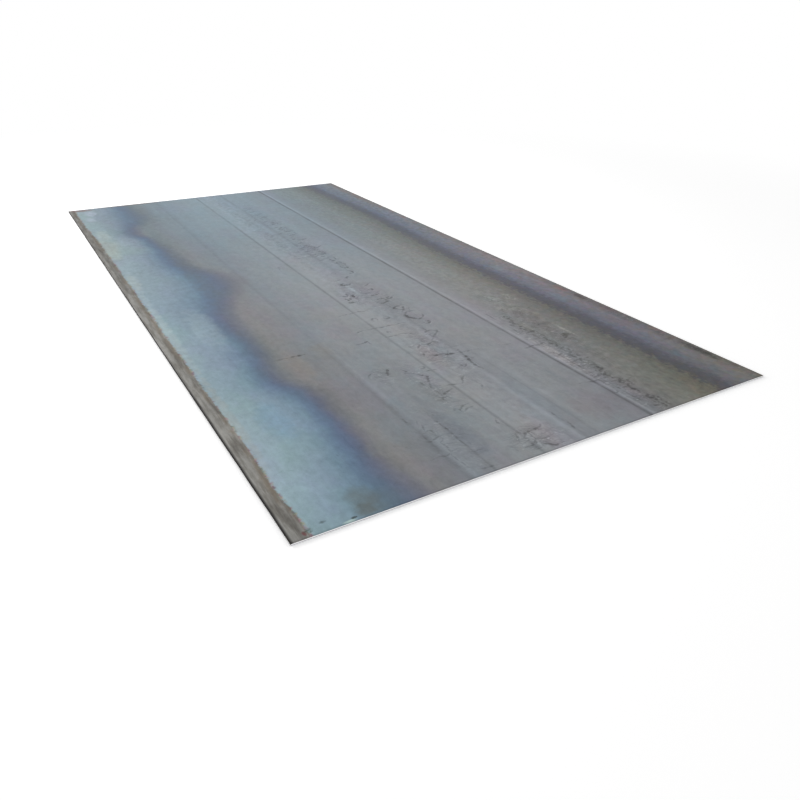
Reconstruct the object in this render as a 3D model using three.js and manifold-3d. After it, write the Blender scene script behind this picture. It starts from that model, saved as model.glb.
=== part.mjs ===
// Hot-rolled steel plate: one rectangular piece of flat stock, as it lies on a level floor.
// Millimetres. +X across the width, +Y along the rolling direction, +Z up.
// The origin is the centre of the underside.

import * as THREE from "three";
import { mergeVertices } from "three/addons/utils/BufferGeometryUtils.js";
import Module from "manifold-3d";

// Plate
const WIDTH = 1500;
const LENGTH = 3000;
const THICKNESS = 6;

// Long edges, left round by the rolls
const MILL_EDGE_RADIUS = 2.2;
const MILL_EDGE_FACETS = 6;

// Short ends, cut by a guillotine shear whose blade came down from above
const ROLLOVER_DEPTH = 0.7;
const ROLLOVER_SETBACK = 1.1;
const ROLLOVER_FACETS = 5;
const BURNISH_SHARE = 0.35;
const FRACTURE_SETBACK = 0.45;
const BREAK_AT_UNDERSIDE = 0.25;

const wasm = await Module();
wasm.setup();

// A closed solid from a three.js geometry: only its positions are kept, with shared corners merged.
function solidOf(geometry) {
  const bare = geometry.clone();
  bare.deleteAttribute("normal");
  bare.deleteAttribute("uv");
  const merged = mergeVertices(bare, 1e-5);
  return new wasm.Manifold(new wasm.Mesh({
    numProp: 3,
    vertProperties: new Float32Array(merged.attributes.position.array),
    triVerts: new Uint32Array(merged.index.array),
  }));
}

function geometryOf(solid) {
  const mesh = solid.getMesh();
  const geometry = new THREE.BufferGeometry();
  geometry.setAttribute("position", new THREE.BufferAttribute(mesh.vertProperties, 3));
  geometry.setIndex(new THREE.BufferAttribute(mesh.triVerts, 1));
  geometry.computeVertexNormals();
  return geometry;
}

// The section across the width: flat faces and a rounded corner at each end of them.
function rolledSection() {
  const r = Math.min(MILL_EDGE_RADIUS, THICKNESS * 0.45);
  const side = WIDTH / 2;
  const shape = new THREE.Shape();
  shape.moveTo(-side + r, 0);
  shape.lineTo(side - r, 0);
  shape.absarc(side - r, r, r, -Math.PI / 2, 0, false);
  shape.lineTo(side, THICKNESS - r);
  shape.absarc(side - r, THICKNESS - r, r, 0, Math.PI / 2, false);
  shape.lineTo(-side + r, THICKNESS);
  shape.absarc(-side + r, THICKNESS - r, r, Math.PI / 2, Math.PI, false);
  shape.lineTo(-side, r);
  shape.absarc(-side + r, r, r, Math.PI, Math.PI * 1.5, false);
  return shape;
}

// One sheared end from the top face down, as pairs of (distance in from the end, height).
function shearedEnd() {
  const points = [];
  for (let i = 0; i <= ROLLOVER_FACETS; i += 1) {
    const turn = (i / ROLLOVER_FACETS) * Math.PI / 2;
    const inward = ROLLOVER_SETBACK * (1 - Math.sin(turn));
    const height = THICKNESS - ROLLOVER_DEPTH * (1 - Math.cos(turn));
    points.push([inward, height]);
  }
  const burnishFoot = (THICKNESS - ROLLOVER_DEPTH) * (1 - BURNISH_SHARE);
  points.push([0, burnishFoot]);
  points.push([FRACTURE_SETBACK, BREAK_AT_UNDERSIDE]);
  points.push([FRACTURE_SETBACK + BREAK_AT_UNDERSIDE, 0]);
  return points;
}

// The side view along the length: both ends sheared alike.
function shearedProfile() {
  const half = LENGTH / 2;
  const end = shearedEnd();
  const farEnd = end.map(([inward, height]) => new THREE.Vector2(half - inward, height));
  const nearEnd = end.map(([inward, height]) => new THREE.Vector2(inward - half, height)).reverse();
  return new THREE.Shape([...nearEnd, ...farEnd]);
}

// The rolled strip, a little longer than the plate, lying along Y.
function rolledStrip() {
  const spare = 20;
  const geometry = new THREE.ExtrudeGeometry(rolledSection(), {
    depth: LENGTH + 2 * spare,
    bevelEnabled: false,
    curveSegments: MILL_EDGE_FACETS,
  });
  geometry.rotateX(Math.PI / 2);
  geometry.translate(0, LENGTH / 2 + spare, 0);
  return solidOf(geometry);
}

// What the shear leaves: the side view carried across more than the full width.
function shearedBlank() {
  const spare = 20;
  const geometry = new THREE.ExtrudeGeometry(shearedProfile(), {
    depth: WIDTH + 2 * spare,
    bevelEnabled: false,
  });
  geometry.rotateX(Math.PI / 2);
  geometry.rotateZ(Math.PI / 2);
  geometry.translate(-WIDTH / 2 - spare, 0, 0);
  return solidOf(geometry);
}

const steel = new THREE.MeshStandardMaterial({
  color: 0x868a8a,
  roughness: 0.5,
  metalness: 0.85,
});

const plate = new THREE.Mesh(geometryOf(rolledStrip().intersect(shearedBlank())), steel);
plate.name = "plate";

const object = new THREE.Group();
object.name = "steel_plate";
object.add(plate);

export default object;
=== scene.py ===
"""The looks of a hot-rolled steel plate: heat-tinted mill scale, rolled edges and sheared ends.

Metres, in the frame of the solid: +X across the plate, +Y along the rolling direction, +Z up.
"Left" is the long edge at low X, "near" the sheared end at low Y. A place on the plate is given as
its distance from the left edge, then its distance from the near end.
"""

import math
import random

import bmesh
import bpy
import numpy as np
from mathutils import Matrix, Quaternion, Vector, noise


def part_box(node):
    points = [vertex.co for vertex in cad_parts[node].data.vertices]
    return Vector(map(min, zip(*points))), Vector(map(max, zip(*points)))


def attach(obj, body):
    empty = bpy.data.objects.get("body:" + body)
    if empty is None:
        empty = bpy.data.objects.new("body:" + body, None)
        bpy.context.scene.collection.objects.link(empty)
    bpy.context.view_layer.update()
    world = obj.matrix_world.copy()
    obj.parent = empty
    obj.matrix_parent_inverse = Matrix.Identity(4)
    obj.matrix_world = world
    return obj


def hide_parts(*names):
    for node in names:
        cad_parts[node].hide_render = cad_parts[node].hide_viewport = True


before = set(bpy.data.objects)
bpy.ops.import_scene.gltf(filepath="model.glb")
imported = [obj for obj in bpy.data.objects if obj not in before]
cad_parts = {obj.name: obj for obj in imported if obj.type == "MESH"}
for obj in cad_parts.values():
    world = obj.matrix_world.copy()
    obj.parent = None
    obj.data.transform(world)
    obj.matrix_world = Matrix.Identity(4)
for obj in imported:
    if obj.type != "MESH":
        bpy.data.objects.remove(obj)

# --- Sizes ---

LOW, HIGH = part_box("plate")
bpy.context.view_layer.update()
WIDTH = HIGH.x - LOW.x
LENGTH = HIGH.y - LOW.y
MM = 0.001

MILL_EDGE_RADIUS = 2.2 * MM
ROLLOVER_DEPTH = 0.7 * MM
ROLLOVER_SETBACK = 1.1 * MM
BURNISH_FOOT = 3.45 * MM
FRACTURE_SETBACK = 0.45 * MM
UNDERSIDE_BREAK = 0.25 * MM
RELIEF_ROOM = 0.16 * MM


def metres(columns, rows):
    """Rows whose first few columns are in millimetres, with those columns in metres."""
    return [(*(size / 1000 for size in row[:columns]), *row[columns:]) for row in rows]


def add(name, data):
    """A new object in the scene."""
    made = bpy.data.objects.new(name, data)
    bpy.context.scene.collection.objects.link(made)
    return made


# Lines that the rolls left along the plate: distance from the left edge, half width, rise, how much
# lighter (or darker, below 0) the scale is there, partly the line's own tone and partly painted
# light and shade on the slopes of its ridge or groove, and how far from the near end it shows.
ROLL_LINES = (
    (0.438, 8.0 * MM, 0.0, -0.10, LENGTH),
    (0.442, 6.0 * MM, 0.0, -0.08, 0.60),
    (0.459, 6.0 * MM, 0.03 * MM, 0.11, 0.85),
    (0.511, 4.0 * MM, 0.0, -0.18, 0.32),
    (0.659, 5.0 * MM, 0.0, -0.30, LENGTH),
    (0.671, 6.0 * MM, 0.05 * MM, 0.05, LENGTH),
    (0.785, 10.0 * MM, 0.06 * MM, 0.19, 0.85),
    (0.802, 6.0 * MM, 0.0, -0.08, 1.10),
    (0.838, 4.0 * MM, 0.0, -0.08, 0.60),
    (0.860, 9.0 * MM, 0.02 * MM, 0.09, 0.40),
    (1.027, 5.0 * MM, 0.0, -0.50, LENGTH),
    (1.040, 4.6 * MM, 0.09 * MM, 0.24, LENGTH),
    (1.062, 3.4 * MM, 0.0, -0.06, 0.80),
    (1.126, 3.4 * MM, 0.03 * MM, 0.05, 0.90),
)

# Over what length a roll line fades where it stops short.
LINE_FADE = 0.3

# Patches of wrinkled, cracked scale: place, half width, half length, and how dense they are.
CRAZED_FIELDS = metres(4, (
    (840, 2150, 40, 700, 0.42),
    (810, 1750, 55, 160, 0.55),
    (735, 1200, 55, 140, 0.7),
    (815, 1050, 50, 260, 0.55),
    (740, 620, 65, 200, 0.75),
    (1075, 340, 40, 440, 0.9),
    (1165, 660, 55, 320, 0.6),
    (605, 420, 40, 200, 0.6),
    (490, 180, 70, 170, 0.38),
    (690, 60, 80, 70, 0.8),
    (515, 550, 30, 60, 0.6),
    (1478, 400, 22, 500, 0.8),
    (860, 1620, 22, 260, 0.5),
    (735, 2000, 30, 550, 0.34),
    (930, 400, 50, 340, 0.16),
))

# Where the heat tint ends: distance from the near end, and how far in from the left edge.
TINT_FRONT = metres(2, (
    (0, 247), (130, 240), (300, 257), (500, 262), (600, 240), (700, 208), (850, 218),
    (1000, 224), (1160, 210), (1300, 226), (1450, 275), (1600, 298), (1720, 276), (1840, 243),
    (2020, 234), (2130, 241), (2280, 228), (2420, 191), (2600, 226), (2760, 243), (3000, 243),
))

# Stretches where the tint's colours spread wider: middle, reach along the plate, and how much.
TINT_SPREADS = metres(2, (
    (0, 120, 0.4),
    (1500, 240, 0.8),
    (2280, 220, -0.42),
    (2740, 180, 0.3),
))

# --- Camera ---

FRAME_PIXELS = 800
SENSOR_WIDTH = 36.0
FOCAL_PIXELS = 697.0
AXIS_COLUMN = 412.6
CAMERA_PLACE = Vector((-1.106, -2.536, 0.932))
CAMERA_AZIMUTH = math.radians(31.49)
CAMERA_DIP = math.radians(29.05)
CAMERA_ROLL = math.radians(0.91)


def add_camera():
    lens = bpy.data.cameras.new("camera")
    lens.sensor_width = SENSOR_WIDTH
    lens.lens = FOCAL_PIXELS * SENSOR_WIDTH / FRAME_PIXELS
    lens.shift_x = (FRAME_PIXELS / 2 - AXIS_COLUMN) / FRAME_PIXELS
    camera = add("camera", lens)
    look = Vector((
        math.sin(CAMERA_AZIMUTH) * math.cos(CAMERA_DIP),
        math.cos(CAMERA_AZIMUTH) * math.cos(CAMERA_DIP),
        -math.sin(CAMERA_DIP),
    ))
    camera.rotation_mode = "QUATERNION"
    roll = Quaternion((0, 0, 1), CAMERA_ROLL)
    camera.rotation_quaternion = look.to_track_quat("-Z", "Y") @ roll
    camera.location = CAMERA_PLACE
    bpy.context.scene.camera = camera


# --- Shader helpers ---


class Value:
    """A number, vector or colour that a node gives. Arithmetic on it adds Math nodes."""

    def __init__(self, nodes, socket):
        self.nodes = nodes
        self.socket = socket

    def math(self, operation, *others):
        inputs = dict(enumerate((self, *others)))
        return self.nodes.node("ShaderNodeMath", {"operation": operation}, inputs)

    def __add__(self, other):
        return self.math("ADD", other)

    def __sub__(self, other):
        return self.math("SUBTRACT", other)

    def __rsub__(self, other):
        return self.nodes.node("ShaderNodeMath", {"operation": "SUBTRACT"}, {0: other, 1: self})

    def __mul__(self, other):
        return self.math("MULTIPLY", other)

    def __truediv__(self, other):
        return self.math("DIVIDE", other)

    def __abs__(self):
        return self.math("ABSOLUTE")

    __radd__ = __add__
    __rmul__ = __mul__


class Nodes:
    """A node tree that is written as calls."""

    def __init__(self, tree):
        self.tree = tree

    def node(self, kind, settings=None, inputs=None, output=0):
        """A node with its settings made first, then the values or links of its sockets."""
        made = self.tree.nodes.new(kind)
        for name, value in (settings or {}).items():
            if name == "stops":
                set_stops(made.color_ramp, value)
            elif name == "easing":
                made.color_ramp.interpolation = value
            else:
                setattr(made, name, value)
        for name, value in (inputs or {}).items():
            if isinstance(value, Value):
                self.tree.links.new(value.socket, made.inputs[name])
            else:
                made.inputs[name].default_value = value
        return Value(self, made.outputs[output]) if made.outputs else None


# How far apart the layers of two noises lie, and of two sorts of wrinkle.
LAYER_GAP = 3.7
WRINKLE_GAP = 5.3


class Finish(Nodes):
    """One material and its nodes, which read the surface in metres, in the object's frame."""

    def __init__(self, name):
        self.material = bpy.data.materials.new(name)
        self.material.use_nodes = True
        super().__init__(self.material.node_tree)
        self.tree.nodes.clear()
        place = self.node("ShaderNodeTexCoord", output="Object")
        self.x, self.y, self.z = (
            self.node("ShaderNodeSeparateXYZ", inputs={0: place}, output=axis) for axis in "XYZ"
        )
        self.layers = 0

    def step(self, value, low, high):
        """0 below low, 1 above high, smooth between. High may be the lower one."""
        inputs = {"Value": value, "From Min": low, "From Max": high}
        return self.node("ShaderNodeMapRange", {"interpolation_type": "SMOOTHSTEP"}, inputs)

    def hill(self, value, centre, reach):
        """1 at centre, falling to nothing a little past reach on either side."""
        off = (value - centre) / reach
        return (off * off * -1.0).math("EXPONENT")

    def noise(
        self, along_x, along_y, detail=3.0, roughness=0.5, distortion=0.0, layer=None, moved=0.0
    ):
        """Cloudy noise from 0 to 1, with that many clouds a metre along each axis.

        Each call gets a layer of its own, so that no two patterns agree. The same layer, moved a
        little, gives the same pattern seen from a step aside.
        """
        if layer is None:
            self.layers += 1
            layer = self.layers * LAYER_GAP
        spot = {
            0: (self.x + moved) * along_x,
            1: (self.y + moved) * along_y,
            2: self.z * along_x + layer,
        }
        sockets = {
            "Vector": self.node("ShaderNodeCombineXYZ", inputs=spot),
            "Scale": 1.0,
            "Detail": detail,
            "Roughness": roughness,
            "Distortion": distortion,
        }
        return self.node("ShaderNodeTexNoise", {}, sockets)

    def ramp(self, value, stops):
        """The colour at value of a ramp through stops: pairs of a place and a 0 to 255 colour."""
        stops = [(place, paint(*colour)) for place, colour in stops]
        return self.node("ShaderNodeValToRGB", {"stops": stops}, {0: value})

    def curve(self, value, points):
        """The height at value of a smooth curve through points, all of them within 0 to 1."""
        stops = [(place, grey(height)) for place, height in points]
        return self.node("ShaderNodeValToRGB", {"stops": stops, "easing": "CARDINAL"}, {0: value})

    def mix(self, factor, under, over, blend="MIX"):
        """Colour under, covered by colour over as far as factor says."""
        settings = {"data_type": "RGBA", "blend_type": blend}
        return self.node("ShaderNodeMix", settings, {0: factor, 6: under, 7: over}, output=2)

    def tinge(self, factor, colour, hue):
        """Colour, multiplied by the red, green and blue of hue as far as factor says."""
        return self.mix(factor, colour, (*hue, 1.0), blend="MULTIPLY")

    def shade(self, colour, factor):
        """Colour made lighter or darker by a factor that changes over the surface."""
        inputs = {0: colour, "Scale": factor}
        return self.node("ShaderNodeVectorMath", {"operation": "SCALE"}, inputs)

    def bump(self, height, distance, under=None):
        """The normal of a relief of that height, times distance, on top of the relief under."""
        inputs = {"Height": height, "Distance": distance, "Strength": 1.0}
        if under is not None:
            inputs["Normal"] = under
        return self.node("ShaderNodeBump", {}, inputs)

    def surface(self, colour, roughness, metallic, normal):
        """The finished material."""
        shader = self.node(
            "ShaderNodeBsdfPrincipled",
            {},
            {"Base Color": colour, "Roughness": roughness, "Metallic": metallic, "Normal": normal},
        )
        self.node("ShaderNodeOutputMaterial", {}, {"Surface": shader})
        return self.material


class Face(Finish):
    """The finish of a broad face, which reads it from its left edge and from its near end."""

    def __init__(self, name):
        super().__init__(name)
        self.from_left = self.x - LOW.x
        self.from_near = self.y - LOW.y

    def zone(self, across, along):
        """1 inside a zone, 0 outside it. Its bounds are as in the tables of zones."""
        inside = None
        for distance, bound in ((self.from_left, across), (self.from_near, along)):
            if bound:
                *hill, first, second = bound
                shape = self.hill if hill else self.step
                part = shape(distance, first / 1000, second / 1000)
                inside = part if inside is None else inside * part
        return inside

    def zones(self, table, total=0.0):
        """The zones of a table, each times its amount, added to total."""
        for across, along, amount in table:
            total = total + self.zone(across, along) * amount
        return total


def set_stops(ramp, stops):
    """Sets a colour ramp's stops from (place, colour) pairs, in rising order."""
    ramp.elements.remove(ramp.elements[1])
    (ramp.elements[0].position, ramp.elements[0].color), *later = stops
    for place, colour in later:
        ramp.elements.new(place).color = colour


def paint(red, green, blue):
    """A colour from its 0 to 255 screen values."""
    def linear(level):
        share = level / 255
        return share / 12.92 if share <= 0.04045 else ((share + 0.055) / 1.055) ** 2.4
    return (linear(red), linear(green), linear(blue), 1.0)


def grey(level):
    return (level, level, level, 1.0)


# --- Finishes ---

# Heat tint from TINT_BEHIND behind the tint's front (0) to TINT_AHEAD ahead of it (1).
TINT_BEHIND = 0.26
TINT_AHEAD = 0.12
TINT_COLOURS = (
    (0.0, (160, 173, 175)),
    (0.1, (154, 172, 178)),
    (0.18, (149, 170, 179)),
    (0.34, (141, 163, 174)),
    (0.47, (131, 152, 167)),
    (0.57, (116, 140, 158)),
    (0.645, (100, 123, 146)),
    (0.7, (93, 111, 135)),
    (0.76, (98, 106, 126)),
    (0.83, (114, 115, 124)),
    (0.91, (127, 127, 129)),
    (1.0, (134, 134, 135)),
)

# Colours of the plain scale by distance from the left edge.
SCALE_COLOURS = metres(1, (
    (300, (130, 129, 129)),
    (450, (132, 138, 144)),
    (540, (139, 144, 148)),
    (640, (143, 148, 152)),
    (710, (151, 154, 158)),
    (790, (137, 141, 147)),
    (900, (141, 145, 149)),
    (1010, (137, 141, 146)),
    (1050, (142, 144, 149)),
    (1080, (136, 137, 141)),
    (1105, (133, 135, 136)),
    (1200, (131, 132, 129)),
    (1270, (112, 112, 107)),
    (1300, (101, 101, 96)),
    (1320, (77, 77, 85)),
    (1356, (77, 80, 96)),
    (1382, (101, 105, 121)),
    (1425, (115, 116, 126)),
    (1465, (119, 116, 119)),
    (1500, (106, 104, 103)),
))

# Clouds of another hue over the whole face, and spots that show most along the right edge: how many
# there are to a metre, and what they multiply the scale's colour by.
HUE_CLOUDS = (
    (7.0, (1.03, 1.0, 0.985)),
    (9.0, (1.02, 0.975, 1.015)),
    (11.0, (0.965, 1.005, 1.02)),
)
HUE_SPOTS = (
    (26.0, (0.84, 1.01, 1.06)),
    (31.0, (1.12, 0.94, 1.05)),
    (37.0, (1.06, 1.03, 0.86)),
)

# The same for clouds in the heat tint.
TINT_CLOUDS = (
    (6.0, (0.985, 1.03, 0.975)),
    (8.0, (1.015, 0.975, 1.03)),
)

# Zones of the top face. Each row bounds one across the plate, then along it, in millimetres, and
# ends with its amount. A bound is a pair, from where it starts to where it is full, or a hill, with
# its middle and reach, or None.

# Zones of another hue: what they multiply the scale's colour by.
HUE_ZONES = (
    ((160, 300), (900, 2700), (0.86, 1.11, 1.24)),
    (("hill", 275, 35), (500, 1000), (0.89, 0.97, 1.0)),
    (("hill", 1360, 18), (1400, 1900), (0.86, 0.93, 0.96)),
    ((1000, 1300), (450, 50), (1.02, 1.0, 0.86)),
)

# How much lighter (or darker, below 0) the scale is: partly its own tone, partly painted light and
# shade. The far part is lighter with a painted sheen, the light and dark lines near 776 and 799 mm
# paint the lit and shaded sides of a ridge, and the near right corner is darker with painted shade.
LIGHT_ZONES = (
    (None, (2400, 1100), 0.2),
    ((410, 330), (900, 80), 0.12),
    (("hill", 620, 160), (1700, 2600), 0.05),
    (("hill", 483, 30), (1300, 500), 0.05),
    (("hill", 776, 10), (1300, 1700), 0.07),
    (("hill", 799, 7), (1300, 1700), -0.13),
    (("hill", 835, 50), (1300, 1700), 0.11),
    ((1085, 1102), (1000, 500), -0.13),
    ((1050, 1250), (1100, 200), -0.05),
    ((1050, 1250), None, -0.04),
    (("hill", 1050, 170), (400, 50), -0.2),
)

# How gritty the scale is, beyond GRIT.
GRIT = 0.14
GRIT_ZONES = (
    ((1080, 1140), None, 0.7),
    ((420, 300), None, 0.3),
    (("hill", 740, 50), None, 0.45),
    (("hill", 740, 50), (1300, 2000), 0.35),
    ((1360, 1420), None, -0.1),
    ((1360, 1420), (700, 1100), 0.45),
    ((1360, 1420), (1600, 2200), 0.4),
)

# How much rust shows along the right edge.
RUST_ZONES = (
    ((1440, 1485), None, 0.45),
    ((1440, 1485), (1600, 2400), 0.35),
)

# How dark the outermost rim of the face is.
RIM_ZONES = (
    ((8.5, 3), (1100, 600), 0.68),
    ((8.5, 3), None, 0.05),
    (None, (8, 0), 0.25),
)

# The strip along the left edge where the scale is thin: how wide it is, and how light its colours.
STRIP_WIDTH = 40 * MM
STRIP_ZONES = (
    (None, (220, 50), 5 * MM),
    (None, ("hill", 420, 140), 5 * MM),
    (None, (2200, 2800), -12 * MM),
)
STRIP_LIGHT = 1.1
STRIP_LIGHT_ZONES = (
    ((7, 27), None, -0.12),
    (None, (280, 60), -0.16),
    (("hill", 26, 9), ("hill", 1950, 500), -0.2),
    (None, (2200, 2700), -0.17),
)
STRIP_COLOURS = ((0.3, (98, 95, 90)), (0.44, (122, 120, 115)), (0.58, (145, 144, 140)))
FRINGE_COLOURS = (
    (0.36, (112, 84, 92)),
    (0.44, (150, 116, 126)),
    (0.5, (150, 146, 118)),
    (0.56, (118, 134, 122)),
    (0.64, (98, 92, 92)),
)

# Colours of the rolled edges: the thick scale's own dark, made darker still with painted shade.
EDGE_SCALE_AND_PAINTED_SHADE_COLOURS = (
    (0.34, (18, 17, 16)),
    (0.5, (28, 26, 24)),
    (0.62, (42, 39, 33)),
    (0.74, (66, 60, 49)),
)

FADED_TINT = paint(110, 124, 129)
RUST = paint(130, 104, 103)
TAN_BORDER = paint(112, 101, 84)
RUBBED_EDGE = paint(150, 148, 141)
BROKEN_STEEL = paint(216, 216, 219)
BURNISHED_STEEL = paint(253, 253, 254)

# Stains: place, reach across and along, colour, how much of it shows, and how ragged its outline
# is. One that reaches less than SMALL_STAIN across has a finely ragged outline.
SMALL_STAIN = 11 * MM
STAINS = metres(4, (
    (192, 50, 40, 66, (106, 114, 113), 0.58, 0.6),
    (235, 30, 60, 50, (98, 108, 113), 0.36, 0.6),
    (178, 22, 24, 30, (96, 99, 92), 0.35, 1.2),
    (36, 17, 5, 8, (112, 70, 72), 0.85, 1.0),
    (47, 22, 10, 8, (72, 80, 72), 0.85, 2.0),
    (81, 32, 9, 5, (90, 106, 110), 0.8, 1.6),
    (148, 12, 8, 4, (60, 66, 62), 0.85, 2.0),
    # A painted highlight: a small light cyan spot at the near end.
    (134, 5, 18, 5, (190, 212, 206), 0.8, 0.8),
    (60, 2976, 60, 24, (134, 106, 104), 0.9, 1.0),
    (300, 2990, 180, 14, (112, 104, 98), 0.9, 1.0),
    (90, 2890, 30, 60, (176, 188, 206), 0.75, 1.0),
    (70, 2760, 24, 60, (174, 188, 204), 0.65, 1.0),
    (75, 2430, 34, 110, (174, 188, 186), 0.6, 1.0),
    (65, 2150, 30, 120, (172, 186, 182), 0.6, 1.0),
    (62, 1720, 22, 120, (172, 184, 182), 0.5, 1.0),
    (54, 1200, 16, 440, (168, 183, 185), 0.5, 1.4),
    (150, 470, 45, 120, (122, 156, 180), 0.5, 0.6),
    (56, 550, 14, 280, (160, 167, 165), 0.5, 1.2),
    (165, 1150, 50, 200, (160, 178, 186), 0.42, 0.8),
    (285, 1720, 42, 620, (96, 106, 116), 0.44, 1.0),
    (305, 2730, 80, 270, (88, 108, 120), 0.42, 0.9),
    (430, 800, 40, 70, (140, 137, 130), 0.4, 1.0),
    (330, 740, 30, 110, (144, 137, 128), 0.4, 1.0),
    (325, 500, 45, 100, (102, 103, 110), 0.4, 0.8),
    (472, 120, 36, 140, (138, 145, 152), 0.4, 1.2),
    (535, 170, 36, 130, (116, 123, 134), 0.55, 0.9),
    (526, 300, 12, 200, (114, 120, 127), 0.4, 0.9),
    (710, 620, 34, 70, (152, 147, 150), 0.6, 1.0),
    (705, 80, 36, 60, (147, 143, 147), 0.4, 1.2),
    (930, 120, 70, 80, (138, 133, 140), 0.5, 1.0),
    (1060, 400, 20, 150, (168, 165, 166), 0.6, 1.5),
    (1213, 560, 8, 60, (158, 158, 153), 0.75, 1.6),
    (1170, 800, 50, 26, (148, 150, 146), 0.65, 2.2),
    (1183, 518, 14, 14, (84, 84, 76), 0.8, 2.0),
    (761, 1245, 10, 55, (166, 176, 184), 0.6, 1.6),
    (770, 1150, 26, 70, (152, 160, 167), 0.4, 2.4),
    (1172, 890, 24, 34, (152, 157, 156), 0.7, 2.0),
    (1112, 650, 16, 50, (142, 142, 137), 0.55, 2.4),
    (1240, 880, 16, 60, (150, 150, 146), 0.6, 2.4),
    (1395, 240, 18, 40, (92, 110, 122), 0.75, 1.0),
    (1410, 1180, 24, 50, (118, 132, 140), 0.6, 1.0),
    (1405, 800, 20, 60, (106, 122, 138), 0.6, 1.0),
    (1430, 500, 24, 60, (120, 112, 122), 0.6, 1.0),
    (1476, 220, 18, 80, (66, 68, 64), 0.8, 1.0),
    (1478, 760, 14, 40, (78, 70, 68), 0.8, 1.0),
    (1474, 870, 14, 40, (128, 98, 97), 0.65, 1.0),
    (1474, 1330, 20, 110, (142, 120, 122), 0.4, 1.0),
    (1482, 1150, 18, 160, (142, 139, 142), 0.4, 1.0),
    (1482, 2650, 24, 480, (126, 106, 100), 0.5, 0.8),
))


def heat_tint(skin):
    """Colours of the oxide that the heat left along the left edge, and how much of them shows."""
    front = [(along / LENGTH, reach) for along, reach in TINT_FRONT]
    reach = skin.curve(skin.from_near / LENGTH, front)
    spread = 1.0
    for along, length, wider in TINT_SPREADS:
        spread = spread + skin.hill(skin.from_near, along, length) * wider
    haze = skin.noise(14.0, 8.0, detail=6.0, roughness=0.66, distortion=0.6) - 0.5
    off = (skin.from_left - reach + haze * 0.06) / spread
    colours = skin.ramp((off + TINT_BEHIND) / (TINT_BEHIND + TINT_AHEAD), TINT_COLOURS)
    deep = skin.hill(off, 0.01, 0.05) * skin.step(skin.from_near, 1.1, 2.6)
    colours = skin.tinge(deep, colours, (0.86, 0.92, 0.93))
    for scale, hue in TINT_CLOUDS:
        cloud = skin.step(skin.noise(scale, scale * 0.6, detail=5.0, roughness=0.6), 0.46, 0.62)
        colours = skin.tinge(cloud, colours, hue)
    return colours, skin.step(off, 0.105, 0.055)


def plain_scale(skin):
    """Colours of the oxide across the plate, with borders that sway and are ragged."""
    sway = (skin.noise(0.0, 1.6) - 0.5) * 0.02
    bend = skin.hill(skin.from_near, 2.2, 0.4) * skin.step(skin.from_left, 1.15, 1.3) * 0.02
    haze = (skin.noise(44.0, 24.0, detail=5.0, roughness=0.65) - 0.5) * 0.034
    teeth = skin.noise(90.0, 60.0, detail=3.0, roughness=0.6) - 0.5
    teeth = teeth * (0.03 + skin.hill(skin.from_left, 1.31, 0.05) * 0.08)
    places = [(place / WIDTH, colour) for place, colour in SCALE_COLOURS]
    return skin.ramp((skin.from_left + (sway - bend) + haze + teeth) / WIDTH, places)


def scale_colour(skin):
    """Colours of the top face's scale: plain and tinted, then clouds and zones of other hues."""
    tint, tinted = heat_tint(skin)
    colour = plain_scale(skin)
    for scale, hue in HUE_CLOUDS:
        cloud = skin.step(skin.noise(scale, scale * 0.45, detail=5.0, roughness=0.6), 0.48, 0.64)
        colour = skin.tinge(cloud, colour, hue)
    spotty = skin.step(skin.from_left, 1.08, 1.4) * 0.66 + 0.1
    for scale, hue in HUE_SPOTS:
        spot = skin.step(skin.noise(scale, scale * 0.9, detail=4.0, roughness=0.6), 0.5, 0.62)
        colour = skin.tinge(spot * spotty, colour, hue)
    faded = skin.step(skin.from_near, 0.28, 0.04) * 0.1 * skin.step(skin.from_left, 0.13, 0.2)
    colour = skin.mix(tinted, colour, skin.mix(faded, tint, FADED_TINT))
    for across, along, hue in HUE_ZONES:
        colour = skin.tinge(skin.zone(across, along), colour, hue)
    rusty = skin.step(skin.noise(30.0, 16.0, detail=4.0, roughness=0.65), 0.5, 0.62)
    return skin.mix(rusty * skin.zones(RUST_ZONES), colour, RUST)


def edge_strip(skin, colour):
    """Colour with the thin-scaled strip along the left edge over it, and where the strip shows."""
    wander = (skin.noise(0.0, 5.0) - 0.5) * 0.012
    ragged = (skin.noise(45.0, 70.0, detail=5.0, roughness=0.7) - 0.5) * 0.014
    reach = skin.zones(STRIP_ZONES, STRIP_WIDTH) + wander + ragged
    strip = skin.step(skin.from_left - reach, 3 * MM, -3 * MM)
    pale = skin.ramp(skin.noise(75.0, 9.0, detail=5.0, roughness=0.62), STRIP_COLOURS)
    streaks = (skin.noise(150.0, 9.0, detail=4.0, roughness=0.6) - 0.5) * 0.35
    pale = skin.shade(pale, skin.zones(STRIP_LIGHT_ZONES, STRIP_LIGHT) + streaks)
    colour = skin.mix(strip, colour, pale)

    # The strip's tan border, and the rust, tan and pink in its ragged fringe.
    border = skin.hill(skin.from_left, reach - 7 * MM, 8 * MM)
    tanned = skin.step(skin.noise(24.0, 9.0, detail=4.0, layer=0.0), 0.42, 0.56)
    colour = skin.mix(strip * border * tanned * 0.6, colour, TAN_BORDER)
    fringe = skin.hill(skin.from_left, reach + 1 * MM, 4 * MM)
    specks = skin.ramp(skin.noise(40.0, 40.0), FRINGE_COLOURS)
    shown = skin.step(skin.noise(40.0, 50.0), 0.4, 0.58)
    return skin.mix(fringe * shown * 0.8, colour, specks), strip


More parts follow.
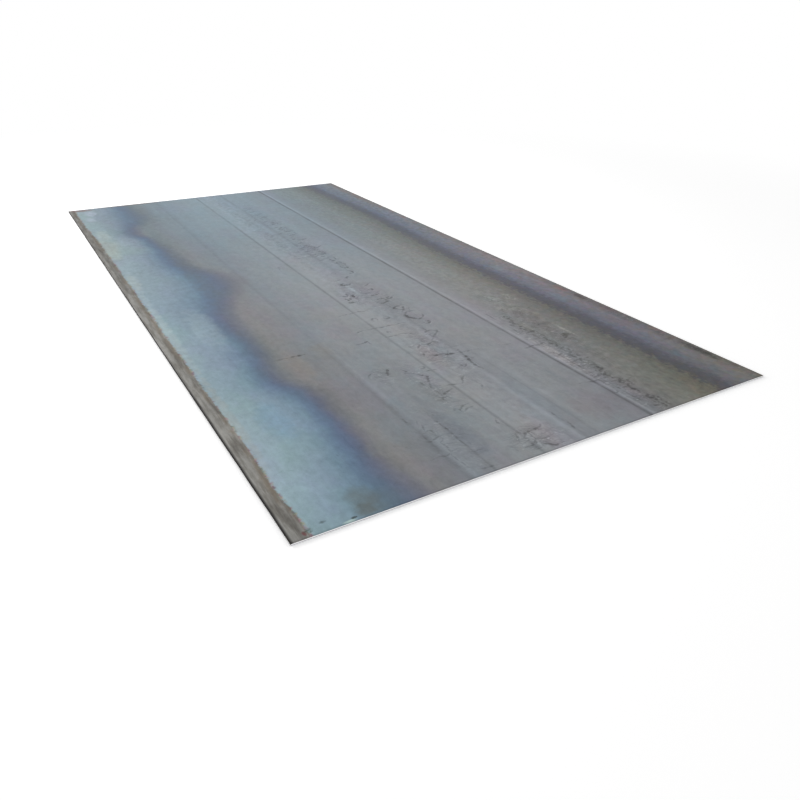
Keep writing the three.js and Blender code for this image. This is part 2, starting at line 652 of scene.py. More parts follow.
def stain(skin, colour):
    """Ragged spots where dirt, rust or fresh oxide covers the scale, and one small painted
    highlight at the near end.
    """
    coarse, fine = (
        (skin.noise(scale, scale * 1.25, detail=6.0, roughness=0.7) - 0.5) * 3.4
        for scale in (24.0, 90.0)
    )
    for across, along, wide, long, over, amount, ragged in STAINS:
        u, v = (skin.from_left - across) / wide, (skin.from_near - along) / long
        outline = fine if wide < SMALL_STAIN else coarse
        shown = skin.step(u * u + v * v + outline * ragged, 1.4, -0.2) * amount
        colour = skin.mix(shown, colour, paint(*over))
    return colour


def roll_marks(skin):
    """Long lines that the rolls left: how much lighter or darker the scale is, partly their own
    tone and partly painted light and shade on their slopes, and their height.
    """
    tone, height = 0.0, 0.0
    sway = (skin.noise(0.0, 2.5, detail=2.0) - 0.5) * 5 * MM
    broken = skin.noise(30.0, 7.0, detail=5.0, roughness=0.65) * 1.8 + 0.1
    for place, width, rise, lighter, reach in ROLL_LINES:
        line = skin.hill(skin.from_left + sway, place, width)
        if reach < LENGTH:
            line = line * skin.step(skin.from_near, reach + LINE_FADE / 2, reach - LINE_FADE / 2)
        tone = tone + line * lighter
        height = height + line * (rise / MM)
    return tone * broken, height


def crazed_map(skin):
    """Where the scale is wrinkled and cracked: 0 on smooth scale, 1 where it is at its worst."""
    where = 0.0
    for across, along, half_width, half_length, amount in CRAZED_FIELDS:
        wide = (skin.from_left - across) / half_width
        long = (skin.from_near - along) / half_length
        off = wide * wide + long * long
        where = where + (off * off * -1.0).math("EXPONENT") * amount
    return (where * (skin.noise(20.0, 9.0) * 1.6 + 0.3)).math("MINIMUM", 1.2)


def wrinkles(skin, along_x, along_y, thin, slant):
    """Raised wrinkles of scale: their height, and the painted light and shade of their slopes,
    which is the height a small step aside less the height here.
    """
    skin.layers += 1
    layer = skin.layers * WRINKLE_GAP

    def height(moved):
        folds = skin.noise(along_x, along_y, 4.0, 0.55, distortion=1.2, layer=layer, moved=moved)
        return skin.step(abs(folds - 0.5), thin, 0.0)

    here = height(0.0)
    return here, height(slant) - here


# How much lighter (or darker, below 0) the scale is at the top of a crack's lip, rim or swell:
# darker along the lip, partly the crack's own dark and partly painted shade; a painted highlight on
# the rim, which lies on the crack's lit side; and painted shade over the swell.
LIP_PAINTED_SHADING = {"lip": -0.8, "rim": 0.24, "swell": -0.2}

SCALE_METALLIC = 0.78
EDGE_METALLIC = 0.6
CUT_METALLIC = 0.72


def top_finish():
    """The upper face: grey-blue mill scale, heat-tinted along its left edge, with painted light and
    shade on its roll lines, wrinkles and cracks.
    """
    skin = Face("mill_scale")
    colour, strip = edge_strip(skin, scale_colour(skin))
    colour = stain(skin, colour)

    # Rolling grain in long streaks, broad bands, clouds and specks.
    grain = skin.noise(120.0, 1.6, detail=5.0, roughness=0.7)
    streaks = skin.noise(34.0, 0.7, detail=4.0, roughness=0.6)
    cloud = skin.noise(9.0, 5.0, detail=6.0, roughness=0.66, distortion=0.5)
    mottle = skin.noise(46.0, 30.0, detail=5.0, roughness=0.65, distortion=0.6)
    speck = skin.noise(330.0, 210.0, roughness=0.7)
    grit = skin.noise(62.0, 44.0, detail=4.0, roughness=0.65)
    tone = 0.98 + (grain - 0.5) * 0.22 + (streaks - 0.5) * 0.18 + (cloud - 0.5) * 0.5
    tone = tone + (mottle - 0.5) * 0.46 + (speck - 0.5) * 0.26
    tone = tone + (grit - 0.5) * skin.zones(GRIT_ZONES, GRIT)

    # Roll lines, then wrinkled and cracked scale, with painted light and shade on their slopes.
    lines, ridges = roll_marks(skin)
    crazed = crazed_map(skin)
    folds, fold_light = wrinkles(skin, 17.0, 22.0, 0.075, 4.0 * MM)
    fine_folds, fine_light = wrinkles(skin, 40.0, 46.0, 0.09, 2.6 * MM)
    blotch = skin.noise(24.0, 30.0, detail=4.0, roughness=0.6) - 0.54
    flecks = skin.step(skin.noise(64.0, 90.0, detail=2.0), 0.62, 0.72)
    # Over wrinkled and cracked scale: painted light and shade on the wrinkles' slopes, the wrinkles
    # a little darker, blotches and light flecks. The roll lines and the zones add their tone and
    # their painted light and shade.
    painted_relief_light_and_flecks = fold_light * 0.16 + fine_light * 0.07 - folds * 0.08 + blotch + flecks * 0.58
    tone = skin.zones(LIGHT_ZONES, tone + lines + painted_relief_light_and_flecks * (crazed + 0.03))
    colour = skin.shade(colour, tone * (1.0 - skin.zones(RIM_ZONES)))
    # Painted shade along each crack's lip and over its swell, and a painted highlight on its rim.
    for lip, shade in LIP_PAINTED_SHADING.items():
        level = skin.node("ShaderNodeAttribute", {"attribute_name": lip}, output="Fac")
        colour = skin.shade(colour, 1.0 + level * shade)

    roughness = 0.38 + grain * 0.08 + strip * 0.14 + crazed * 0.08 + (cloud - 0.5) * 0.14
    fine = skin.bump(grain * 0.5 + speck * 0.5 + mottle * 0.6, 0.14 * MM)
    height = ridges + crazed * (folds + fine_folds * 0.5) + cloud * 0.8 - strip * 0.5
    return skin.surface(colour, roughness, SCALE_METALLIC, skin.bump(height, 0.5 * MM, fine))


def underside_finish():
    """The lower face: even blue-grey scale, scuffed dull where it has lain on other plates."""
    skin = Face("mill_scale_underside")
    colour = plain_scale(skin)
    grain = skin.noise(90.0, 1.2, detail=5.0, roughness=0.65)
    cloud = skin.noise(5.0, 2.5, detail=5.0, roughness=0.6)
    scuff = skin.step(skin.noise(60.0, 5.0, detail=4.0, roughness=0.7), 0.58, 0.7)
    colour = skin.shade(colour, 0.78 + grain * 0.1 + (cloud - 0.5) * 0.22 + scuff * 0.1)
    roughness = 0.44 + grain * 0.1 + (cloud - 0.5) * 0.12
    normal = skin.bump(grain + cloud - scuff * 0.3, 0.25 * MM)
    return skin.surface(colour, roughness, SCALE_METALLIC, normal)


def mill_edge_finish():
    """The rolled long edges: thick dark scale with brown rust in it and a few bright rubs, darkened
    further with painted shade.
    """
    skin = Finish("mill_edge_scale_and_painted_shade")
    patches = skin.noise(40.0, 22.0, detail=4.0, roughness=0.6)
    colour = skin.ramp(patches, EDGE_SCALE_AND_PAINTED_SHADE_COLOURS)
    rub = skin.step(skin.noise(60.0, 16.0, detail=4.0, roughness=0.7), 0.66, 0.74)
    colour = skin.mix(rub * 0.5, colour, RUBBED_EDGE)
    pits = skin.noise(300.0, 260.0)
    normal = skin.bump(patches + pits * 0.4, 0.25 * MM)
    return skin.surface(colour, 0.74 - rub * 0.2, EDGE_METALLIC, normal)


def sheared_finish():
    """The cut ends: bright steel, smooth where the blade burnished it, grainy where it broke."""
    skin = Finish("sheared_steel")
    drag = skin.noise(900.0, 0.0, roughness=0.7)
    wander = (skin.noise(120.0, 0.0) - 0.5) * 1.2 * MM
    burnished = skin.step(skin.z - LOW.z + wander, BURNISH_FOOT - 0.3 * MM, BURNISH_FOOT + 0.3 * MM)
    colour = skin.mix(burnished, BROKEN_STEEL, BURNISHED_STEEL)
    grain = skin.noise(1400.0, 1400.0, detail=2.0)
    tint = skin.noise(9.0, 0.0)
    colour = skin.shade(colour, 0.93 + drag * 0.13 + (tint - 0.5) * 0.1)
    height = drag * burnished * 0.4 + grain * (1.0 - burnished)
    normal = skin.bump(height, 0.2 * MM)
    return skin.surface(colour, 0.52 - burnished * 0.14, CUT_METALLIC, normal)


# --- Plate ---

TOP, EDGE, END, UNDER = range(4)
COLUMN_STEP = 12 * MM
STATION_STEP = 14 * MM
EDGE_ARC_STEPS = 5
ROLLOVER_STEPS = 4
END_ROWS = 8

# Columns stand closer together at each roll line. In half widths of the line: how far to its right
# they are centred, how far from there the even columns end, and where its own columns stand.
RIDGE_ASIDE = 1.2
RIDGE_ROOM = 3.4
RIDGE_COLUMNS = np.array([-2.6, -1.6, -0.9, -0.4, 0.0, 0.4, 0.9, 1.6, 2.6])

# How uneven the outline is at a rolled edge and at a cut: how far in it shows, how deep it goes,
# and how many swings there are to the metre along the outline and over the thickness.
EDGE_WEAR = (12 * MM, 0.9 * MM, 9.0, 90.0)
CUT_WEAR = (8 * MM, 0.3 * MM, 45.0, 300.0)

# Places this close together are one place.
TOUCHING = 1e-6


def wave(a, b=0.0, seed=0):
    """Smooth noise from -1 to 1, the same on every run."""
    return noise.noise(Vector((a, b, seed * 7.31 + 0.5)))


def column_places():
    """Places across the flat of the face, closer together at each roll line."""
    low, high = LOW.x + MILL_EDGE_RADIUS, HIGH.x - MILL_EDGE_RADIUS
    places = list(np.linspace(low, high, round((high - low) / COLUMN_STEP) + 1))
    for line, width, *_ in ROLL_LINES:
        ridge = LOW.x + line + RIDGE_ASIDE * width
        places = [place for place in places if abs(place - ridge) > RIDGE_ROOM * width]
        places += list(ridge + width * RIDGE_COLUMNS)
    return sorted(places)


def rounded_off(flat, steps, out, down):
    """Places and how far down each lies: the flat, and a quarter round at either end of it."""
    turns = [k / steps * math.pi / 2 for k in range(1, steps + 1)]
    arc = [(out * math.sin(turn), down * (1 - math.cos(turn))) for turn in turns]
    first = [(flat[0] - past, drop) for past, drop in reversed(arc)]
    last = [(flat[-1] + past, drop) for past, drop in arc]
    return first + [(place, 0.0) for place in flat] + last


def columns():
    """Across the plate: each column's place, and how far its edge rounding takes it down."""
    return rounded_off(column_places(), EDGE_ARC_STEPS, MILL_EDGE_RADIUS, MILL_EDGE_RADIUS)


def stations():
    """Along the plate: each station's place, and how far the shear's rollover takes it down."""
    start, stop = LOW.y + ROLLOVER_SETBACK, HIGH.y - ROLLOVER_SETBACK
    flat = np.linspace(start, stop, round((stop - start) / STATION_STEP) + 1)
    return rounded_off(flat, ROLLOVER_STEPS, ROLLOVER_SETBACK, ROLLOVER_DEPTH)


def end_setback(height):
    """How far in from the cut's outermost line the end lies at a height below the rollover."""
    if height >= BURNISH_FOOT:
        return 0.0
    if height >= UNDERSIDE_BREAK:
        return FRACTURE_SETBACK * (BURNISH_FOOT - height) / (BURNISH_FOOT - UNDERSIDE_BREAK)
    return FRACTURE_SETBACK + UNDERSIDE_BREAK - height


def relief(x, y):
    """How far the top face lies below the plate's greatest thickness."""
    ridges = 0.0
    for number, (place, width, rise, *_) in enumerate(ROLL_LINES):
        sway = wave(y * 1.5, seed=number) * 0.5 * MM
        off = (x - LOW.x - place - sway) / width
        ridges += rise * math.exp(-off * off) * (0.75 + 0.25 * wave(y * 6.0, seed=10 + number))
    swell = 0.5 + 0.3 * wave(x * 3.0, y * 1.2, 20) + 0.2 * wave(x * 9.0, y * 5.0, seed=21)
    return max(0.0, RELIEF_ROOM * (0.45 + 0.55 * swell) - ridges)


def worn(place, half, wear, beside, z, seed):
    """A place across or along the plate, drawn in where it nears the uneven outline at half."""
    room, depth, swings, swings_down = wear
    near = max(0.0, abs(place) - half + room) / room
    swing = 0.5 + 0.5 * wave(beside * swings, z * swings_down, seed)
    return place - math.copysign(near * near * depth * swing, place)


def build_plate(scale):
    """The plate as one closed mesh: top, underside, two rolled edges and two sheared ends."""
    across, along = columns(), stations()
    mesh = bmesh.new()

    def skin_point(x, y, z):
        """A place on the skin, with the uneven line of the rolled edges and of the cut."""
        x = worn(x, WIDTH / 2, EDGE_WEAR, y, z, seed=30)
        y = worn(y, LENGTH / 2, CUT_WEAR, x, z, seed=31)
        return mesh.verts.new((x, y, z))

    def top_point(i, j):
        (x, edge_drop), (y, end_drop) = across[i], along[j]
        down = max(edge_drop, end_drop, relief(x, y))
        return x, y, HIGH.z - down

    def under_point(i, j):
        (x, edge_drop), (y, _) = across[i], along[j]
        inner = LENGTH / 2 - end_setback(0.0)
        return x, max(-inner, min(inner, y * inner / (LENGTH / 2))), LOW.z + edge_drop

    def wall_point(i, j, row):
        """Between the top and the underside, down an edge or an end."""
        share = row / END_ROWS
        (x, y, high), (_, under_y, low) = top_point(i, j), under_point(i, j)
        z = high + (low - high) * share
        if abs(y) > LENGTH / 2 - TOUCHING:
            return x, math.copysign(LENGTH / 2 - end_setback(z - LOW.z), y), z
        return x, y + (under_y - y) * share, z

    def patch(rows, row_length, place, slot, flip):
        """Faces over a grid of places. Places that two patches share are merged afterwards."""
        grid = [[skin_point(*place(a, b)) for b in range(row_length)] for a in range(rows)]
        for a in range(rows - 1):
            flat = EDGE_ARC_STEPS <= a < rows - 1 - EDGE_ARC_STEPS
            for b in range(row_length - 1):
                ring = [grid[a][b], grid[a + 1][b], grid[a + 1][b + 1], grid[a][b + 1]]
                face = mesh.faces.new(ring[::-1] if flip else ring)
                face.material_index = EDGE if slot in (TOP, UNDER) and not flat else slot
                face.smooth = True

    wide, long, deep = len(across), len(along), END_ROWS + 1
    patch(wide, long, top_point, TOP, False)
    patch(wide, long, under_point, UNDER, True)
    patch(wide, deep, lambda i, row: wall_point(i, 0, row), END, True)
    patch(wide, deep, lambda i, row: wall_point(i, long - 1, row), END, False)
    patch(long, deep, lambda j, row: wall_point(0, j, row), EDGE, False)
    patch(long, deep, lambda j, row: wall_point(wide - 1, j, row), EDGE, True)
    bmesh.ops.remove_doubles(mesh, verts=mesh.verts, dist=TOUCHING)

    data = bpy.data.meshes.new("steel_plate")
    mesh.to_mesh(data)
    mesh.free()
    for finish in (scale, mill_edge_finish(), sheared_finish(), underside_finish()):
        data.materials.append(finish)
    plate = add("steel_plate", data)
    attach(plate, "root")
    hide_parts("plate")
    return plate


# --- Cracks ---

# Cracks that stand out: how wide each is, and the places that it runs through, in millimetres.
CRACKS = (
    (0.5, (470, 545), (478, 575), (500, 582)),
    (0.9, (525, 545), (532, 560), (546, 582)),
    (0.7, (580, 565), (592, 530), (625, 490), (612, 455), (600, 418)),
    (0.7, (602, 366), (625, 380), (648, 390)),
    (0.5, (595, 275), (612, 290), (642, 296)),
    (0.5, (603, 266), (640, 280)),
    (0.4, (458, 225), (465, 262), (484, 254)),
    (0.45, (425, 190), (445, 180), (485, 192)),
    (0.4, (400, 115), (445, 110), (470, 120), (492, 120)),
    (0.4, (485, 185), (465, 165), (462, 120), (458, 80), (462, 45), (480, 26)),
    (0.5, (480, 26), (530, 20)),
    (0.5, (652, 192), (645, 175), (651, 148)),
    (0.72, (655, 83), (672, 96), (700, 98), (728, 103), (738, 118)),
    (0.56, (630, 45), (665, 45), (677, 62), (682, 85)),
    (0.64, (680, 42), (700, 20), (738, 14)),
    (0.56, (806, 85), (799, 45)),
    (0.7, (686, 605), (700, 628)),
    (0.7, (700, 662), (722, 684)),
    (1, (742, 672), (766, 682)),
    (1, (700, 584), (738, 597), (770, 580), (800, 572)),
    (0.85, (807, 600), (803, 562), (797, 520), (794, 480), (799, 445)),
    (0.7, (752, 482), (772, 497)),
    (0.5, (722, 345), (735, 370), (732, 395)),
    (0.6, (600, 1029), (660, 1027), (715, 1027)),
    (0.6, (600, 1029), (612, 1026)),
    (0.8, (583, 868), (618, 873)),
    (0.6, (618, 873), (700, 868), (780, 866)),
    (0.7, (545, 783), (585, 789), (590, 768)),
    (0.65, (650, 787), (725, 786), (742, 777), (775, 778)),
    (0.55, (275, 800), (330, 802)),
    (0.9, (325, 801), (375, 797)),
    (0.7, (290, 801), (316, 804)),
    (0.6, (808, 770), (838, 758), (800, 720), (765, 682)),
    (0.7, (840, 830), (856, 847)),
    (0.88, (818, 955), (830, 975), (850, 1002)),
    (1, (730, 1150), (735, 1188), (748, 1196)),
    (0.56, (975, 236), (1030, 222), (1086, 226), (1098, 205)),
    (0.7, (998, 500), (1034, 502), (1060, 498), (1088, 508)),
    (0.7, (1046, 402), (1082, 412)),
    (0.7, (1150, 490), (1190, 512)),
    (0.7, (1468, 740), (1488, 790)),
    (0.72, (1474, 300), (1484, 220), (1472, 140)),
    (0.16, (50, 232), (88, 252), (110, 222)),
    (0.3, (214, 246), (221, 236)),
    (0.25, (222, 205), (228, 190)),
    (0.3, (236, 150), (242, 138)),
    (0.22, (345, 215), (372, 203), (386, 176), (412, 168)),
    (0.2, (352, 300), (366, 262)),
)

# Blisters, whose rims are open rings of cracked scale: place, half width, half length, and how wide
# the crack is.
BLISTERS = metres(4, (
    (767, 1312, 22, 14, 0.95),
    (709, 1204, 12, 20, 0.95),
    (701, 1160, 10, 16, 0.84),
    (700, 1128, 10, 14, 0.84),
    (737, 1175, 8, 30, 0.5),
    (817, 1206, 18, 10, 0.84),
    (815, 1160, 18, 10, 0.84),
    (805, 1088, 17, 30, 0.82),
    (848, 1102, 11, 8, 0.95),
    (834, 992, 29, 25, 0.8),
    (838, 910, 36, 40, 0.84),
    (838, 838, 17, 14, 0.84),
    (812, 742, 22, 32, 0.6),
    (697, 938, 10, 22, 0.6),
    (738, 933, 8, 12, 0.6),
    (857, 1630, 14, 30, 0.8),
    (861, 1560, 10, 16, 0.7),
    (855, 1506, 12, 22, 0.8),
    (845, 1431, 14, 18, 0.9),
    (811, 1369, 10, 16, 0.7),
    (780, 1444, 8, 16, 0.6),
    (611, 1600, 6, 26, 0.5),
    (1240, 880, 10, 24, 0.6),
    (1172, 890, 12, 18, 0.5),
    (1150, 800, 16, 12, 0.6),
))
BLISTER_SIDES = 7

# The net of cracks: the spacing of the grid that it starts from, and how often a place is joined to
# its neighbour to the right, further on, and both, where the scale is at its worst.
NET_COLUMN = 44 * MM
NET_ROW = 28 * MM
NET_LINKS = ((1, 0, 0.22), (0, 1, 0.18), (1, 1, 0.05))
NET_BLISTERS = 0.28
FINE_WIDTHS = (0.25, 0.55)
CRACK_SEED = 11

# How long the stretches are in which a roll line can crack open, and how often one does.
STRETCH = 50 * MM
STRETCHES_OPEN = 0.6

# The lip of a crack, darker partly by its own dark and partly by painted shade; the rim beside it,
# a painted highlight on the crack's lit side; and the low swell of scale around it, darkened with
# painted
# shade: half width, rise, least width as a share of the greatest, how far it wanders off the crack,
# the length of its steps, and how far to the right of the crack it lies.
LIP_INPUTS = ("Radius", "Rise", "Least", "Wander", "Step", "Aside")
LIP_SIZES = {
    "lip": (9.5 * MM, 0.07 * MM, 0.45, 14 * MM, 4 * MM, 0.0),
    "rim": (5.0 * MM, 0.045 * MM, 0.08, 14 * MM, 5 * MM, 6.0 * MM),
    "swell": (16 * MM, 0.05 * MM, 0.45, 14 * MM, 8 * MM, 0.0),
}

# How much nearer the near end it then lies, as a share of how far to the right.
ASIDE_NEARER = 0.6

# How often to the metre a lip wanders, and by what share of its wander; how often it narrows and
# widens; and how wide its ends are, as a share of its middle.
WANDERS = ((30.0, 1.0), (130.0, 0.5))
WIDTH_CHANGES = 110.0
END_WIDTH = 0.4
LIP_SIDES = 6
PRESS_REACH = 20 * MM
EDGE_ROOM = Vector((4 * MM, 4 * MM, 0.0))

# The jagged seam beside the strongest roll line, and its strands: how far each lies from the seam's
# place, how much of its length is open, and how wide it is. Teeth stand out to either side.
SEAM_PLACE = 1.101
SEAM_START = 0.012
SEAM_LENGTH = 0.74
SEAM_STEP = 13 * MM
SEAM_STRANDS = (
    (0.0, 0.85, 0.85),
    (-13 * MM, 0.5, 0.6),
    (12 * MM, 0.6, 0.7),
)
SEAM_TEETH = 0.55
TOOTH_REACHES = (-24, -15, 12, 19)

# The chatter marks in the far part: where across the plate, from and to where along it, how far one
# stroke is from the next, and how wide the strokes are.
CHATTER_PLACE = 0.79
CHATTER_REACH = (1.58, 2.62)
CHATTER_STEP = 30 * MM
CHATTER_WIDTHS = (0.45, 0.75)


def crazed_share(across, along):
    """How much of the scale has cracked at a place on the top face, 0 to 1."""
    share = 0.0
    for middle, middle_along, half_width, half_length, amount in CRAZED_FIELDS:
        off = ((across - middle) / half_width) ** 2 + ((along - middle_along) / half_length) ** 2
        share += amount * math.exp(-off * off)
    return min(1.0, share * (1.0 + 0.8 * wave(across * 12.0, along * 7.0, seed=40)))


def net_lines(pick, net):
    """A loose net: neighbouring places of a grid, joined by chance where the scale is crazed."""
    for (i, j), place in net.items():
        for right, further, chance in NET_LINKS:
            neighbour = net.get((i + right, j + further))
            if neighbour and pick.random() < chance * crazed_share(*place):
                yield pick.uniform(*FINE_WIDTHS), place, neighbour


def blister_lines(pick, net):
    """The blisters, and small ones by chance where the scale is crazed."""
    blisters = list(BLISTERS)
    for place in net.values():
        if pick.random() < NET_BLISTERS * crazed_share(*place):
            half_sizes = pick.uniform(4, 11) * MM, pick.uniform(5, 14) * MM
            blisters.append((*place, *half_sizes, pick.uniform(0.3, 0.6)))
    for across, along, half_width, half_length, width in blisters:
        start = pick.uniform(0, math.tau)
        ring = []
        for side in range(pick.randint(BLISTER_SIDES - 2, BLISTER_SIDES)):
            turn = start + math.tau * side / BLISTER_SIDES + pick.uniform(-0.3, 0.3)
            reach = pick.uniform(0.75, 1.2)
            right = half_width * reach * math.cos(turn)
            further = half_length * reach * math.sin(turn)
            ring.append((across + right, along + further))
        yield width, *ring


def roll_line_cracks(pick):
    """Stretches where a dark roll line itself has cracked open."""
    for place, _, _, lighter, reach in ROLL_LINES:
        for step in range(int(LENGTH / STRETCH)):
            along = (step + pick.random()) * STRETCH
            if lighter >= 0 or along >= reach:
                continue
            if pick.random() < STRETCHES_OPEN * crazed_share(place, along):
                end = min(LENGTH - 0.01, along + pick.uniform(0.02, 0.09))
                width = pick.uniform(*FINE_WIDTHS)
                yield width, (place, along), (place + pick.uniform(-3, 3) * MM, end)


def seam_lines(pick):
    """The seam: ragged strands side by side, each open in places, with teeth to either side."""
    for offset, share, width in SEAM_STRANDS:
        along = SEAM_START
        while along < SEAM_LENGTH:
            strand = [(SEAM_PLACE + offset + pick.uniform(-9, 9) * MM, along)]
            for _ in range(pick.randint(2, 6)):
                across, along = strand[-1]
                along += SEAM_STEP * pick.uniform(0.4, 1.3)
                strand.append((SEAM_PLACE + offset + pick.uniform(-11, 11) * MM, along))
                reach = pick.choice(TOOTH_REACHES) * pick.uniform(0.5, 1.2) * MM
                if pick.random() < SEAM_TEETH * share:
                    tooth = (across + reach, along + pick.uniform(-6, 6) * MM)
                    yield width * pick.uniform(0.5, 1.1), strand[-1], tooth
            if pick.random() < share:
                yield width * (1.1 - 0.45 * along), *strand
            along += pick.uniform(0.0, 12.0) * MM


def chatter_lines(pick):
    """The chatter: short strokes across the plate, one after another."""
    along, stop = CHATTER_REACH
    while along < stop:
        along += pick.uniform(0.4, 1.6) * CHATTER_STEP
        across = CHATTER_PLACE + pick.uniform(0, 45) * MM
        end = (across + pick.uniform(22, 60) * MM, along + pick.uniform(-10, 25) * MM)
        yield pick.uniform(*CHATTER_WIDTHS), (across, along), end


def crack_lines():
    """Centre lines of all cracks: width and places, as in CRACKS but in metres."""
    pick = random.Random(CRACK_SEED)
    net = {
        (i, j): ((i + pick.uniform(0.1, 0.9)) * NET_COLUMN, (j + pick.uniform(0.1, 0.9)) * NET_ROW)
        for i in range(1, int(WIDTH / NET_COLUMN))
        for j in range(1, int(LENGTH / NET_ROW))
    }
    return [
        *((width, *metres(2, places)) for width, *places in CRACKS),
        *net_lines(pick, net),
        *blister_lines(pick, net),
        *roll_line_cracks(pick),
        *seam_lines(pick),
        *chatter_lines(pick),
    ]


def crack_skeleton(name):
    """The centre lines as a mesh of edges at the top face's height, with the cracks' widths."""
    places, edges, widths = [], [], []
    for width, *line in crack_lines():
        first = len(places)
        places += [(LOW.x + across, LOW.y + along, HIGH.z) for across, along in line]
        edges += [(number, number + 1) for number in range(first, len(places) - 1)]
        widths += [width] * len(line)
    data = bpy.data.meshes.new(name)
    data.from_pydata(places, edges, [])
    data.attributes.new("width", "FLOAT", "POINT").data.foreach_set("value", widths)
    return data


def crack_rule(kind, plate, material):
    """Geometry Nodes: each centre line becomes a lip that wanders and follows the plate."""
    tree = bpy.data.node_groups.new("crack_rule", "GeometryNodeTree")
    rule = Nodes(tree)

    def socket(name, kind, way="INPUT"):
        return tree.interface.new_socket(name, in_out=way, socket_type=kind)

    socket("Geometry", "NodeSocketGeometry")
    sizes = [socket(name, "NodeSocketFloat").identifier for name in LIP_INPUTS]
    socket("Geometry", "NodeSocketGeometry", "OUTPUT")

    def given(name):
        return rule.node("NodeGroupInput", output=name)

    def vector(operation, *inputs):
        return rule.node("ShaderNodeVectorMath", {"operation": operation}, dict(enumerate(inputs)))

    def cloud(scale, output):
        inputs = {"Vector": place, "Scale": scale, "Detail": 1.0}
        return rule.node("ShaderNodeTexNoise", {}, inputs, output)

    def sideways(scale, share):
        """A push in the plane of the face that changes from place to place."""
        push = vector("SUBTRACT", cloud(scale, "Color"), (0.5, 0.5, 0.5))
        inputs = {0: vector("MULTIPLY", push, (1, 1, 0)), "Scale": given("Wander") * share}
        return rule.node("ShaderNodeVectorMath", {"operation": "SCALE"}, inputs)

    def change(geometry, kind, settings=None, **inputs):
        """Geometry after a node whose other inputs are named with _ for the space in a name."""
        inputs = {name.replace("_", " "): value for name, value in inputs.items()}
        return rule.node("GeometryNode" + kind, settings, {"Geometry": geometry, **inputs})

    place = rule.node("GeometryNodeInputPosition")
    lines = rule.node("GeometryNodeMeshToCurve", {}, {"Mesh": given("Geometry")})
    inputs = {"Curve": lines, "Length": given("Step")}
    lines = rule.node("GeometryNodeResampleCurve", {"mode": "LENGTH"}, inputs)
    push = vector("ADD", *(sideways(scale, share) for scale, share in WANDERS))
    aside = {0: given("Aside"), 1: given("Aside") * -ASIDE_NEARER}
    push = vector("ADD", push, rule.node("ShaderNodeCombineXYZ", {}, aside))
    lines = change(lines, "SetPosition", Offset=push)

    along = rule.node("GeometryNodeSplineParameter", output="Factor")
    inputs = {"Value": cloud(WIDTH_CHANGES, 0), "From Min": 0.4, "From Max": 0.6}
    swell = rule.node("ShaderNodeMapRange", {}, {**inputs, "To Min": given("Least")})
    width = rule.node("GeometryNodeInputNamedAttribute", {"data_type": "FLOAT"}, {"Name": "width"})
    taper = along * (1.0 - along) * (4 * (1.0 - END_WIDTH)) + END_WIDTH
    radius = taper * swell * width * given("Radius")
    ring = {"Resolution": LIP_SIDES, "Radius": 1.0}
    ring = rule.node("GeometryNodeCurvePrimitiveCircle", {}, ring)
    inputs = {"Curve": lines, "Profile Curve": ring, "Scale": radius, "Fill Caps": True}
    lips = rule.node("GeometryNodeCurveToMesh", {}, inputs)
    lips = change(lips, "SetShadeSmooth", Shade_Smooth=False)

    # How high on its lip a point is, kept for the finish, which paints shade along lips and swells
    # and a highlight along rims by it.
    level = rule.node("ShaderNodeSeparateXYZ", {}, {0: place}, "Z")
    share = (level - HIGH.z) / given("Radius")
    settings = {"data_type": "FLOAT", "domain": "POINT"}
    shown = share.math("MAXIMUM", 0.0)
    lips = change(lips, "StoreNamedAttribute", settings, Name=kind, Value=shown)

    # Kept on the flat of the face, then pressed onto it: a lip rises only as far as the scale does.
    low, high = LOW + EDGE_ROOM, HIGH - EDGE_ROOM
    kept = vector("MINIMUM", vector("MAXIMUM", place, (low.x, low.y, -1.0)), (high.x, high.y, 1.0))
    lips = change(lips, "SetPosition", Position=kept)
    ray = {
        "Target Geometry": rule.node("GeometryNodeObjectInfo", {}, {"Object": plate}, "Geometry"),
        "Source Position": vector("ADD", place, (0, 0, PRESS_REACH)),
        "Ray Direction": (0, 0, -1),
        "Ray Length": 3 * PRESS_REACH,
    }
    under = rule.node("GeometryNodeRaycast", {}, ray, "Hit Position")
    ground = rule.node("ShaderNodeSeparateXYZ", {}, {0: under}, "Z")
    pressed = (ground + share * given("Rise")).math("MINIMUM", HIGH.z)
    press = rule.node("ShaderNodeCombineXYZ", {}, {2: pressed - level})
    lips = change(lips, "SetPosition", Offset=press)
    lips = change(change(lips, "RealizeInstances"), "SetMaterial", Material=material)
    rule.node("NodeGroupOutput", {}, {"Geometry": lips})
    return tree, sizes


def build_lips(kind, plate, material):
    """All lips of one kind along the cracks of the top face, as one plain mesh of closed lips."""
    # Lips, rims and swells carry the attribute by which the scale paints the cracks' shade and
    # highlight.
    name = "scale_%ss" % kind
    lips = add(name, crack_skeleton(name))
    modifier = lips.modifiers.new("crack_rule", "NODES")
    modifier.node_group, inputs = crack_rule(kind, plate, material)
    for size, value in zip(inputs, LIP_SIZES[kind]):
        modifier[size] = value
    shaped = lips.evaluated_get(bpy.context.evaluated_depsgraph_get())
    made = bpy.data.meshes.new_from_object(shaped)
    lips.modifiers.clear()
    lips.data = made
    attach(lips, "root")


# --- Stage ---

WHITE = grey(1.0)
FLOOR_REACH = 60.0

# The floor's own grey, and its colour for the camera and for mirrored rays, which see it as white.
FLOOR_GREY = grey(0.9)
FLOOR_SEEN = grey(1.37)

# How far from the middle the floor starts to fade into white, and where it is all white.
FLOOR_FADE = (2.0, 4.5)

# The studio's light by height: white round the horizon, greyer above.
SKY = ((0.0, WHITE), (0.12, WHITE), (0.75, grey(0.52)))

SOFTBOX_SIZE = (2.6, 3.6)
SOFTBOX_POWER = 110.0
SOFTBOX_PLACE = Vector((-2.8, 3.2, 2.6))


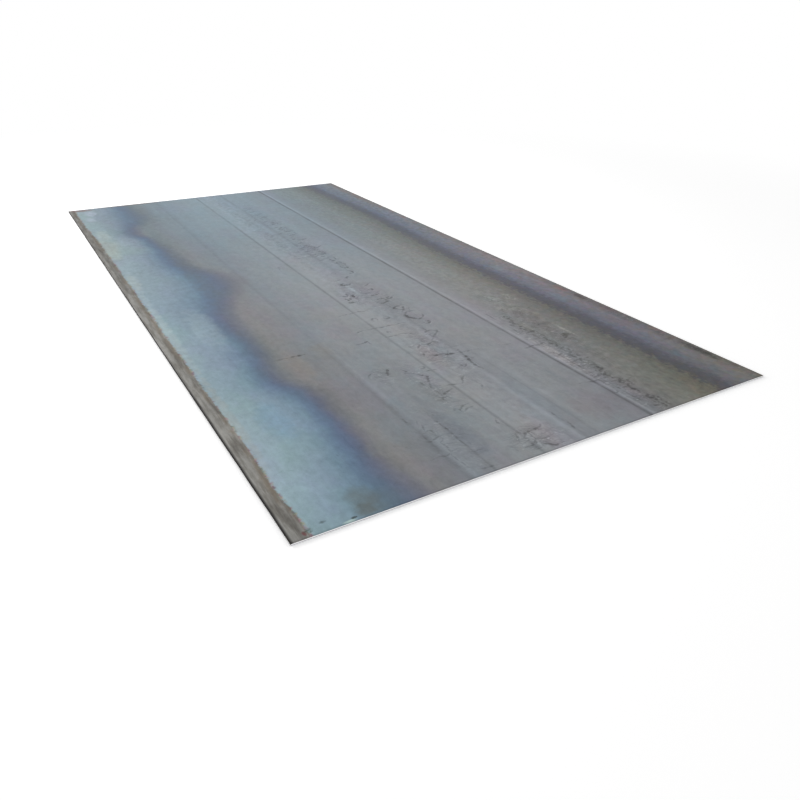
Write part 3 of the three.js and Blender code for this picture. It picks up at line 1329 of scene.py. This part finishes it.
def add_floor():
    mesh = bpy.data.meshes.new("floor")
    signs = ((-1, -1), (1, -1), (1, 1), (-1, 1))
    corners = [(x * FLOOR_REACH, y * FLOOR_REACH, LOW.z) for x, y in signs]
    mesh.from_pydata(corners, [], [(0, 1, 2, 3)])
    floor = add("floor", mesh)
    paper = Finish("pale_floor")
    matt = paper.node("ShaderNodeBsdfDiffuse", {}, {"Color": FLOOR_GREY})
    lit = paper.node("ShaderNodeBsdfDiffuse", {}, {"Color": FLOOR_SEEN})
    white = paper.node("ShaderNodeEmission", {}, {"Color": WHITE, "Strength": 1.0})
    seen = paper.node("ShaderNodeLightPath", output="Is Camera Ray")
    mirrored = paper.node("ShaderNodeLightPath", output="Is Glossy Ray")
    shown = (seen + mirrored).math("MINIMUM", 1.0)
    away = (paper.x * paper.x + paper.y * paper.y).math("SQRT")
    faded = shown * paper.step(away, *FLOOR_FADE)
    near = paper.node("ShaderNodeMixShader", {}, {0: shown, 1: matt, 2: lit})
    mixed = paper.node("ShaderNodeMixShader", {}, {0: faded, 1: near, 2: white})
    paper.node("ShaderNodeOutputMaterial", {}, {"Surface": mixed})
    mesh.materials.append(paper.material)


def add_light():
    sky = bpy.data.worlds.new("studio")
    sky.use_nodes = True
    studio = Nodes(sky.node_tree)
    studio.tree.nodes.clear()
    direction = studio.node("ShaderNodeTexCoord", output="Generated")
    height = studio.node("ShaderNodeSeparateXYZ", {}, {0: direction}, "Z")
    shade = studio.node("ShaderNodeValToRGB", {"stops": SKY}, {0: height})
    light = studio.node("ShaderNodeBackground", {}, {"Color": shade, "Strength": 1.0})
    studio.node("ShaderNodeOutputWorld", {}, {"Surface": light})
    bpy.context.scene.world = sky

    panel = bpy.data.lights.new("softbox", "AREA")
    panel.shape = "RECTANGLE"
    panel.size, panel.size_y = SOFTBOX_SIZE
    panel.energy = SOFTBOX_POWER
    softbox = add("softbox", panel)
    softbox.location = SOFTBOX_PLACE
    softbox.rotation_mode = "QUATERNION"
    softbox.rotation_quaternion = (-SOFTBOX_PLACE).to_track_quat("-Z", "Y")


add_camera()
scale = top_finish()
plate = build_plate(scale)
for lip in LIP_SIZES:
    build_lips(lip, plate, scale)
add_floor()
add_light()
bpy.context.scene.view_settings.view_transform = "Standard"
